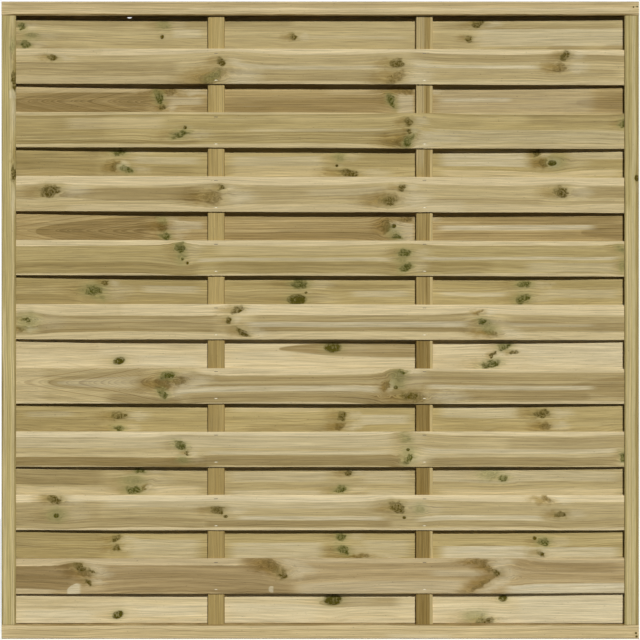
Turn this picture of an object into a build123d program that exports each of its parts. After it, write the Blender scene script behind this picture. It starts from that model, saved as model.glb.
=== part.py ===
"""Woven fence panel: a grooved softwood frame, upright battens, and bowed slats stapled to both sides."""

import math
import os

from build123d import *

os.makedirs("parts", exist_ok=True)

# overall size, in millimetres
panel_width = 1800
panel_height = 1800

# frame bars: one grooved section for rails and stiles
frame_face = 40
frame_proud = 3
frame_round = 3
frame_arris = 3
groove_depth = 0.3 * frame_face

# slats
slat_thickness = 7
slat_width = 100
slat_arris = 1
slat_step_aim = 90
slat_rail_gap = 1
front_drop = 0.5 * slat_thickness
slat_end_gap = 2
slat_bow = 0.8 * slat_thickness

# battens
batten_count = 2
batten_width = 47
batten_thickness = 20
batten_arris = 1.5

# wire staples: light ones through the slats, heavy ones through the rails
staple_sink = 0.2
slat_staple_crown = 10
slat_staple_wire = 1.3
slat_staple_edge = 12
frame_staple_wire = 2
frame_staple_crown = slat_staple_crown + 4 * frame_staple_wire
frame_staple_bite = 35
frame_staple_spread = 12

# clearances
seat_clearance = 0.3
tenon_clearance = 0.2

# sizes that follow from the ones above
frame_depth = batten_thickness + 2 * slat_thickness + 2 * frame_proud
opening_width = panel_width - 2 * frame_face
opening_height = panel_height - 2 * frame_face
rail_web = frame_face - groove_depth
layer_offset = (batten_thickness + slat_thickness) / 2
layer_face = layer_offset + slat_thickness / 2
seat_offset = layer_offset - slat_bow
groove_width = 2 * (seat_offset + slat_thickness / 2 + seat_clearance)

slat_pairs = round((opening_height - slat_width) / (2 * slat_step_aim))
slat_count = 2 * slat_pairs + 1
slat_step = (opening_height - slat_width - 2 * slat_rail_gap) / (slat_count - 1)
slat_bottom = frame_face + slat_rail_gap + slat_width / 2
staple_level = slat_width / 2 - slat_staple_edge

bay = (opening_width - batten_count * batten_width) / (batten_count + 1)
batten_first = -opening_width / 2 + bay + batten_width / 2
batten_places = [batten_first + n * (bay + batten_width) for n in range(batten_count)]
batten_length = opening_height + 2 * groove_depth
batten_low = frame_face - groove_depth

slat_staple_leg = slat_thickness + 0.7 * batten_thickness
frame_staple_leg = rail_web + frame_staple_bite


def eased(width, thickness, arris):
    """A rectangle with its corners planed off."""
    plain = Rectangle(width, thickness)
    return chamfer(plain.vertices(), arris)


def grooved_bar(length):
    """A bar along Z, centred on it: groove and planed arrises at +X, rounded corners at -X."""
    section = Rectangle(frame_face, frame_depth)
    section = chamfer(section.vertices().sort_by(Axis.X)[-2:], frame_arris)
    section = fillet(section.vertices().sort_by(Axis.X)[:2], frame_round)
    groove_middle = frame_face / 2 - groove_depth / 2
    section -= Pos(groove_middle, 0) * Rectangle(groove_depth, groove_width)
    return extrude(section, length / 2, both=True)


def stile_bar():
    """A stile along Z: the bar between the rails, and at each end a stub tenon for the rail's groove."""
    tenon_length = groove_depth - tenon_clearance
    tenon_thickness = groove_width - 2 * tenon_clearance
    tenon_middle = -groove_depth / 2
    full_length = opening_height + 2 * tenon_length
    tenon = Pos(tenon_middle, 0, 0) * Box(rail_web, tenon_thickness, full_length)
    return grooved_bar(opening_height) + tenon


def bowed_line():
    """The middle line of a front slat in plan: straight over the battens, an arc in each outer bay."""
    straight = max(abs(place) for place in batten_places) + batten_width / 2
    reach = opening_width / 2 - straight
    radius = (reach**2 + slat_bow**2) / (2 * slat_bow)
    end = reach + groove_depth - slat_end_gap

    def point(along):
        return (straight + along, radius - math.sqrt(radius**2 - along**2) - layer_offset)

    def mirrored(place):
        return (-place[0], place[1])

    right = ThreePointArc(point(0), point(end / 2), point(end))
    left = ThreePointArc(mirrored(point(end)), mirrored(point(end / 2)), mirrored(point(0)))
    middle = Line(mirrored(point(0)), point(0))
    return Wire([*left.edges(), *middle.edges(), *right.edges()])


def staple(crown_width, wire, leg_length, outward=0):
    """A wire staple driven along +Y, its crown sunk below y = 0; outward deepens the crown, for its slot."""
    crown_depth = wire + outward
    crown_middle = staple_sink + wire - crown_depth / 2
    crown = Pos(0, crown_middle, 0) * Box(crown_width, crown_depth, wire)
    leg_place = (crown_width - wire) / 2
    leg = Pos(leg_place, staple_sink + leg_length / 2, 0) * Box(wire, leg_length, wire)
    return crown + leg + mirror(leg, Plane.YZ)


def slat_staple(outward=0):
    """A light staple at the outer face of a front slat."""
    return Pos(0, -layer_face, 0) * staple(slat_staple_crown, slat_staple_wire, slat_staple_leg, outward)


def frame_staple(outward=0):
    """A heavy staple driven down from the top of the panel."""
    driven_down = Rot(-90, 0, 0) * staple(frame_staple_crown, frame_staple_wire, frame_staple_leg, outward)
    return Pos(0, 0, panel_height) * driven_down


def at_places(shape, places):
    """Copies of a shape at each place, as separate solids."""
    return [Location(place) * shape for place in places]


def upside_down(shape):
    """The shape turned over about the X axis and lifted so that the panel's top becomes its bottom."""
    return Pos(0, 0, panel_height) * Rot(180, 0, 0) * shape


# where the staples go
corner_place = panel_width / 2 - rail_web / 2
corner_level = frame_staple_spread / 2
rail_places = [(x, 0, 0) for x in batten_places]
rail_places += [(side * corner_place, row * corner_level, 0) for side in (-1, 1) for row in (-1, 1)]
crossing_places = [(x, 0, row * staple_level) for x in batten_places for row in (-1, 1)]
slat_levels = [slat_bottom + n * slat_step for n in range(slat_count)]
back_levels = slat_levels[0::2]
front_levels = [level - front_drop for level in slat_levels[1::2]]
turn_round = Rot(0, 0, 180)

staples_above = at_places(frame_staple(), rail_places)
frame_staples = staples_above + [upside_down(one) for one in staples_above]

# frame
rail_middle = panel_height - frame_face / 2
top_rail = Pos(0, 0, rail_middle) * Rot(0, 90, 0) * grooved_bar(panel_width)
top_rail -= at_places(frame_staple(outward=1), rail_places)
bottom_rail = upside_down(top_rail)
stile_place = panel_width / 2 - frame_face / 2
left_stile = Pos(-stile_place, 0, panel_height / 2) * stile_bar() - frame_staples
right_stile = Pos(stile_place, 0, panel_height / 2) * turn_round * stile_bar() - frame_staples

# one front slat at height 0 with its staple slots, and the same slat turned round for the back
line = bowed_line()
start = Plane(origin=line @ 0, x_dir=(0, 0, 1), z_dir=line % 0)
slat_section = eased(slat_width, slat_thickness, slat_arris)
front_slat = sweep(start * slat_section, path=line) - at_places(slat_staple(outward=1), crossing_places)
back_slat = turn_round * front_slat

# staples at every crossing
slat_staples = at_places(slat_staple(), crossing_places)
front_staples = [Pos(0, 0, z) * one for z in front_levels for one in slat_staples]
back_staples = [Pos(0, 0, z) * turn_round * one for z in back_levels for one in slat_staples]

# battens, ends let into the rail grooves
batten = extrude(eased(batten_width, batten_thickness, batten_arris), batten_length)


def batten_at(place):
    """The batten at one place across the panel, with the holes of the staples driven into it."""
    half_bay = (bay + batten_width) / 2
    staples = front_staples + back_staples + frame_staples
    near = [one for one in staples if abs(one.center().X - place) < half_bay]
    return Pos(place, 0, batten_low) * batten - near


nodes = {
    "top_rail": top_rail,
    "bottom_rail": bottom_rail,
    "left_stile": left_stile,
    "right_stile": right_stile,
    "left_batten": batten_at(batten_places[0]),
    "right_batten": batten_at(batten_places[-1]),
    "front_staples": Compound(children=front_staples),
    "back_staples": Compound(children=back_staples),
    "frame_staples": Compound(children=frame_staples),
}
for number, level in enumerate(reversed(front_levels), start=1):
    nodes[f"front_slat_{number:02d}"] = Pos(0, 0, level) * front_slat
for number, level in enumerate(reversed(back_levels), start=1):
    nodes[f"back_slat_{number:02d}"] = Pos(0, 0, level) * back_slat

for name, shape in nodes.items():
    export_step(shape, f"parts/{name}.step")
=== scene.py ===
"""Dresses the woven fence panel: bowed slats with grain and knots, treated frame timber, wire staples, studio."""

import logging
import math
from dataclasses import dataclass, field
from enum import Enum

import bpy
import numpy as np
from bpy.types import Material, Node, NodeSocket, NodeTree, Object
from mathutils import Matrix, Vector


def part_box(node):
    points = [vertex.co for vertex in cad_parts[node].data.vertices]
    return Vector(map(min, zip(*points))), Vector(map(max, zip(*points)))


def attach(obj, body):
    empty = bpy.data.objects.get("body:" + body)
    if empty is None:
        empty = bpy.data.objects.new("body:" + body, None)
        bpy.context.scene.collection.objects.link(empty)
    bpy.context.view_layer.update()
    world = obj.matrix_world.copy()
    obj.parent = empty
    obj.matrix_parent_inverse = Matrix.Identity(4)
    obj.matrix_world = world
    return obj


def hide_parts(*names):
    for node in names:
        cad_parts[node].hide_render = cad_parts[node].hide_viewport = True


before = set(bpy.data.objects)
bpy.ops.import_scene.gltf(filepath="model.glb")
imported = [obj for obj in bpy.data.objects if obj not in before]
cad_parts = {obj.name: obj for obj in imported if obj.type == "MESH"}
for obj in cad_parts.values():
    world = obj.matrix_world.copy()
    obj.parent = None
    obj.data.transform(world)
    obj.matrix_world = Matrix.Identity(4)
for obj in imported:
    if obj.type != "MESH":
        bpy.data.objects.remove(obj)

LOG = logging.getLogger("fence_panel")

PANEL_SIZE = 1.8
IMAGE_PIXELS = 640
PANEL_PIXELS = 637.5
PANEL_CENTRE = (320.25, 320.15)
VIEW_DISTANCE = 6.2
MILLIMETRES = 1000.0
SEED_STEP = 977.0


def linear(red: float, green: float, blue: float) -> tuple[float, float, float, float]:
    """Turns a display colour into the linear colour that shader sockets take.

    Args:
        red: Red from 0 to 255.
        green: Green from 0 to 255.
        blue: Blue from 0 to 255.

    Returns:
        The linear colour with full opacity.
    """
    share = np.array([red, green, blue]) / 255
    low = share / 12.92
    high = ((share + 0.055) / 1.055) ** 2.4
    mixed = np.where(share <= 0.04045, low, high)
    return (float(mixed[0]), float(mixed[1]), float(mixed[2]), 1.0)


class Shade(Enum):
    """The shades of treated softwood in the panel: pale, body and late-wood display colours."""

    PALE = ((226, 210, 168), (207, 189, 143), (180, 156, 105))
    SAND = ((207, 189, 140), (184, 165, 116), (156, 133, 86))
    TAN = ((198, 180, 130), (174, 156, 108), (146, 126, 80))
    GREY = ((205, 187, 139), (183, 164, 115), (151, 130, 85))
    UMBER = ((194, 172, 126), (170, 148, 102), (136, 113, 70))
    OLIVE = ((195, 176, 122), (170, 151, 97), (141, 121, 72))
    BROWN = ((190, 168, 117), (165, 143, 91), (132, 109, 62))
    RAIL = ((220, 199, 150), (200, 179, 130), (168, 146, 98))
    FRAME = ((204, 188, 131), (184, 167, 110), (154, 136, 82))
    BATTEN = ((194, 172, 114), (172, 149, 92), (144, 121, 67))


class KnotKind(Enum):
    """Kinds of knot: how dark the heart is, how green the wood round it, how strong the brown halo."""

    DARK = (1.0, 0.3, 0.8)
    GREEN = (1.0, 0.85, 0.55)
    BROWN = (0.55, 0.05, 1.0)
    SOFT = (0.2, 0.7, 0.4)
    SPOT = (1.5, 0.3, 0.25)
    ROUND = (1.6, 0.6, 0.3)


class Tone(Enum):
    """Tones of a streak: shares of pale outer wood, dark heartwood and bleached fibres, and at frame edges painted
    highlight and shade.
    """

    PALE = (1.0, 0.0, 0.0)
    DARK = (0.0, 1.0, 0.0)
    BLEACHED = (0.0, 0.0, 1.0)


class Grain(Enum):
    """The way the grain of a timber runs."""

    LEVEL = "level"
    UPRIGHT = "upright"


@dataclass(frozen=True)
class PhotoMap:
    """Turns pixels of the photograph into places on one timber, in millimetres along and across its grain.

    Attributes:
        grain: The way the timber's grain runs.
        middle: Middle of the timber across its grain, in millimetres in the panel's frame.
        depth: How far its visible face lies behind the panel's front, in millimetres.
    """

    grain: Grain
    middle: float
    depth: float

    @property
    def scale(self) -> float:
        """Millimetres a pixel at the timber's depth."""
        return MILLIMETRES * PANEL_SIZE / PANEL_PIXELS * (1 + self.depth / (MILLIMETRES * VIEW_DISTANCE))

    def spot(self, px: float, py: float) -> tuple[float, float]:
        """Finds a pixel on the timber.

        Args:
            px: Pixel across the photograph.
            py: Pixel down the photograph.

        Returns:
            The place along the grain, from the panel's middle or its top, and the place across it.
        """
        x = (px - PANEL_CENTRE[0]) * self.scale
        down = MILLIMETRES * PANEL_SIZE / 2 + (py - PANEL_CENTRE[1]) * self.scale
        if self.grain is Grain.UPRIGHT:
            return down, x - self.middle
        return x, MILLIMETRES * PANEL_SIZE - down - self.middle

    def band(self, low: float, high: float, start: float, end: float) -> tuple[float, float, float, float]:
        """Finds a streak on the timber.

        Args:
            low: Pixel of its first long edge.
            high: Pixel of its other long edge.
            start: Pixel where it begins.
            end: Pixel where it ends.

        Returns:
            Where it begins and ends along the grain, its level across it and its half width.
        """
        level = (low + high) / 2
        first, last = (start, level), (end, level)
        if self.grain is Grain.UPRIGHT:
            first, last = first[::-1], last[::-1]
        begin, across = self.spot(*first)
        return begin, self.spot(*last)[0], across, (high - low) / 2 * self.scale


@dataclass(frozen=True)
class Knot:
    """One knot of a timber, placed by a pixel of the photograph.

    Attributes:
        px: Pixel across the photograph.
        py: Pixel down the photograph.
        length: Half length along the grain, in millimetres.
        height: Half height across the grain, in millimetres.
        kind: Kind of knot.
        slant: How far it leans along the grain for each millimetre across it.
    """

    px: float
    py: float
    length: float
    height: float
    kind: KnotKind
    slant: float = 0.0


@dataclass(frozen=True)
class Streak:
    """A streak that follows the grain, placed by pixels of the photograph.

    Attributes:
        low: Pixel of its first long edge, across the grain.
        high: Pixel of its other long edge.
        start: Pixel along the grain where it begins.
        end: Pixel along the grain where it ends.
        tone: Its tone.
        strength: How strong it is.
        point: Pixels that its first end takes to widen, for a flame of heartwood.
        soft: Softness of its long edges in millimetres.
    """

    low: float
    high: float
    start: float
    end: float
    tone: Tone
    strength: float
    point: float = 0.0
    soft: float = 1.5


@dataclass(frozen=True)
class TimberLook:
    """The look of one timber.

    Attributes:
        shade: Its shade.
        knots: Its knots.
        streaks: Its streaks.
        pith: Where the tree's middle lies, across and behind the face, in millimetres.
        tip: Pixel where a flame of rings begins, and how fast the rings come nearer from there.
        ring: Width of a year ring in millimetres.
        figure: Strength of the late-wood lines.
    """

    shade: Shade
    knots: tuple[Knot, ...] = ()
    streaks: tuple[Streak, ...] = ()
    pith: tuple[float, float] = (-60.0, 70.0)
    tip: tuple[float, float] = (0.0, 0.0)
    ring: float = 4.2
    figure: float = 0.5


def knots(*rows: tuple) -> tuple[Knot, ...]:
    """The knots of one timber, from rows of their values."""
    return tuple(Knot(*row) for row in rows)


def streaks(*rows: tuple) -> tuple[Streak, ...]:
    """The streaks of one timber, from rows of their values."""
    return tuple(Streak(*row) for row in rows)


D, G, B, S, P, R = KnotKind.DARK, KnotKind.GREEN, KnotKind.BROWN, KnotKind.SOFT, KnotKind.SPOT, KnotKind.ROUND
PALE, DARK, BLEACHED = Tone.PALE, Tone.DARK, Tone.BLEACHED

BACK_LOOKS: tuple[TimberLook, ...] = (
    TimberLook(Shade.TAN, knots(
        (22, 27, 8, 6, G), (25.3, 44.6, 11, 7, G), (31, 36, 14, 7, S), (162, 36.8, 5, 6, P),
        (164, 25, 12, 8, S), (294, 36.8, 9, 7, D), (478, 24, 13, 7, D, 0.8), (468.4, 38.6, 8, 6, D)), streaks(
        (29, 37, 168, 206, BLEACHED, 0.5), (29, 46, 470, 640, BLEACHED, 0.55), (20, 27, 0, 300, DARK, 0.35),
        (36, 39, 300, 415, BLEACHED, 0.35), (24, 29, 434, 625, DARK, 0.25)), pith=(-40, 60)),
    TimberLook(Shade.BROWN, knots(
        (158.5, 97, 10, 14, G, -0.3), (162.8, 107, 7, 6, D), (391.5, 101, 10, 13, G, -0.3), (391, 99, 4, 4, P),
        (405, 91, 22, 7, B), (170, 92, 20, 6, B)), streaks(
        (92, 118, 2, 156, DARK, 0.54, 70), (80, 93, 0, 160, PALE, 0.3), (97, 120, 190, 388, DARK, 0.34, 150, 8),
        (97, 104, 164, 207, BLEACHED, 0.5), (98, 102, 432, 520, BLEACHED, 0.85),
        (94, 112, 395, 416, BLEACHED, 0.6), (93, 113, 575, 640, DARK, 0.45, 70, 9),
        (87, 95, 434, 640, DARK, 0.08), (85, 95, 320, 416, PALE, 0.2),
        (86, 113, 428, 600, BLEACHED, 0.3)), pith=(-8.5, 5), tip=(44, 0.2), ring=3.8, figure=0.7),
    TimberLook(Shade.OLIVE, knots(
        (119, 152, 17, 6, G), (126.5, 169.5, 13, 7, G, -0.5), (114.5, 166, 8, 10, B, 0.4), (339, 157, 12, 7, S),
        (336.8, 165.6, 4, 4, P), (348.7, 173.3, 22, 8, D, -0.8), (536.6, 153.6, 8, 7, D, 0.4),
        (552, 163, 12, 8, R), (543, 163, 10, 10, B), (556, 162, 18, 11, S)), streaks(
        (150, 178, 0, 108, DARK, 0.35), (157, 164, 125, 206, BLEACHED, 0.45),
        (157, 166, 224, 330, BLEACHED, 0.5), (166, 176, 224, 330, PALE, 0.3), (166, 176, 60, 200, DARK, 0.2),
        (151, 166, 434, 535, BLEACHED, 0.7), (150, 160, 560, 640, BLEACHED, 0.4),
        (170, 176, 434, 625, PALE, 0.4), (150, 160, 345, 416, DARK, 0.25))),
    TimberLook(Shade.BROWN, knots(
        (162.8, 219.6, 9, 7, S), (165.6, 236, 11, 8, G), (163, 227, 14, 10, B), (393.6, 226, 7, 6, P),
        (394, 233, 13, 14, S, -0.4), (397, 237, 12, 4, G, -0.5), (386, 226, 10, 18, B),
        (405, 219, 18, 6, B)), streaks(
        (218, 245, 35, 154, DARK, 0.6, 75), (222, 229, 168, 207, BLEACHED, 0.5),
        (229, 245, 220, 385, DARK, 0.36, 90, 8), (225, 230, 432, 600, BLEACHED, 0.8),
        (231, 236, 432, 500, DARK, 0.2), (216, 224, 470, 625, DARK, 0.26),
        (222, 243, 580, 640, DARK, 0.45, 70, 9),
        (224, 240, 396, 416, BLEACHED, 0.55)), pith=(-16, 5), tip=(37, 0.14), ring=3.6, figure=0.7),
    TimberLook(Shade.OLIVE, knots(
        (93.3, 290, 22, 10, G), (105.2, 283, 8, 6, D), (100, 297, 14, 6, S), (299.3, 284, 19, 9, G),
        (296.8, 299.5, 25, 14, R), (306, 292.6, 4, 3, P), (523.3, 284.4, 17, 7, G),
        (522.6, 298.4, 17, 9, G, 0.3)), streaks(
        (294, 304, 0, 88, DARK, 0.5), (278, 306, 0, 207, DARK, 0.22), (293, 306, 60, 330, DARK, 0.3),
        (286, 293, 135, 206, BLEACHED, 0.45), (283, 286, 224, 290, DARK, 0.3),
        (291, 297, 345, 415, BLEACHED, 0.5), (285, 289, 320, 416, DARK, 0.3),
        (292, 296, 434, 515, BLEACHED, 0.6), (290, 298, 535, 625, BLEACHED, 0.35))),
    TimberLook(Shade.PALE, knots(
        (119, 360.7, 15, 10, R, 0.35), (332.6, 347.5, 23, 13, R), (504.5, 346.5, 16, 8, G, 0.3),
        (490.5, 364, 20, 9, G, 0.9), (493, 355, 5, 8, D, 0.8), (513, 352, 10, 4, D, 0.8)), streaks(
        (341, 357, 278, 438, DARK, 0.85, 110, 5), (356, 366, 130, 206, BLEACHED, 0.5),
        (352, 360, 224, 300, BLEACHED, 0.4), (338, 351, 0, 207, DARK, 0.22),
        (338, 354, 0, 110, DARK, 0.3, 0, 5), (336, 372, 0, 640, DARK, 0.07),
        (338, 372, 520, 640, BLEACHED, 0.45)), figure=0.35),
    TimberLook(Shade.OLIVE, knots(
        (119.3, 416, 16, 8, D), (117.9, 428, 13, 6, G), (341.7, 416, 11, 8, D), (340.3, 426, 12, 7, B, 0.5),
        (541, 413.5, 17, 9, D), (545, 426, 13, 8, B)), streaks(
        (404, 434, 0, 112, DARK, 0.25), (412, 417, 20, 80, BLEACHED, 0.3), (415, 424, 350, 416, BLEACHED, 0.6),
        (406, 418, 434, 525, BLEACHED, 0.55), (424, 434, 240, 335, DARK, 0.3), (424, 434, 434, 530, DARK, 0.1),
        (406, 412, 224, 330, PALE, 0.3))),
    TimberLook(Shade.TAN, knots(
        (133.3, 490, 18, 8, G, -0.2), (133, 481, 22, 9, S), (140, 471, 12, 4, G), (145, 488, 3, 9, B, 0.8),
        (348, 473.3, 9, 6, D), (340.3, 489.5, 14, 7, G, 0.5), (502.8, 478, 13, 7, G),
        (490, 474, 22, 10, S)), streaks(
        (470, 484, 0, 110, DARK, 0.45), (486, 497, 0, 125, PALE, 0.35), (486, 497, 148, 207, PALE, 0.4),
        (490, 498, 224, 330, BLEACHED, 0.6), (472, 482, 224, 335, BLEACHED, 0.38),
        (472, 484, 355, 416, BLEACHED, 0.35), (490, 498, 360, 416, BLEACHED, 0.4),
        (471, 481, 420, 625, BLEACHED, 0.4), (488, 498, 434, 625, PALE, 0.35))),
    TimberLook(Shade.OLIVE, knots(
        (115.8, 539, 11, 7, D, 0.5), (116.5, 548, 11, 7, D), (341, 536.5, 12, 7, G), (343, 550, 14, 9, G, -0.5),
        (360, 556, 24, 4, B), (534.4, 538, 6, 5, P), (543.5, 542, 14, 8, G), (540.7, 553.3, 9, 7, D)), streaks(
        (530, 562, 0, 110, DARK, 0.3), (540, 562, 122, 206, BLEACHED, 0.5), (543, 562, 224, 330, BLEACHED, 0.6),
        (547, 562, 434, 625, BLEACHED, 0.75), (546, 562, 434, 535, BLEACHED, 1.0),
        (540, 556, 355, 416, BLEACHED, 0.4))),
    TimberLook(Shade.PALE, knots(
        (118, 614.5, 14, 11, R, 0.35), (332.6, 599.5, 24, 15, R), (502.8, 598, 12, 9, R),
        (484.5, 621, 20, 8, D, 0.8), (476, 616, 22, 10, S)), streaks(
        (598, 606, 318, 405, DARK, 0.6, 25), (605, 608.5, 0, 75, DARK, 0.3), (610, 624, 16, 100, BLEACHED, 0.6),
        (606, 616, 130, 206, BLEACHED, 0.5), (604, 622, 224, 325, BLEACHED, 0.45),
        (594, 624, 510, 640, BLEACHED, 0.65), (596, 610, 0, 130, DARK, 0.2, 0, 5)), figure=0.3),
)

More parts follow.
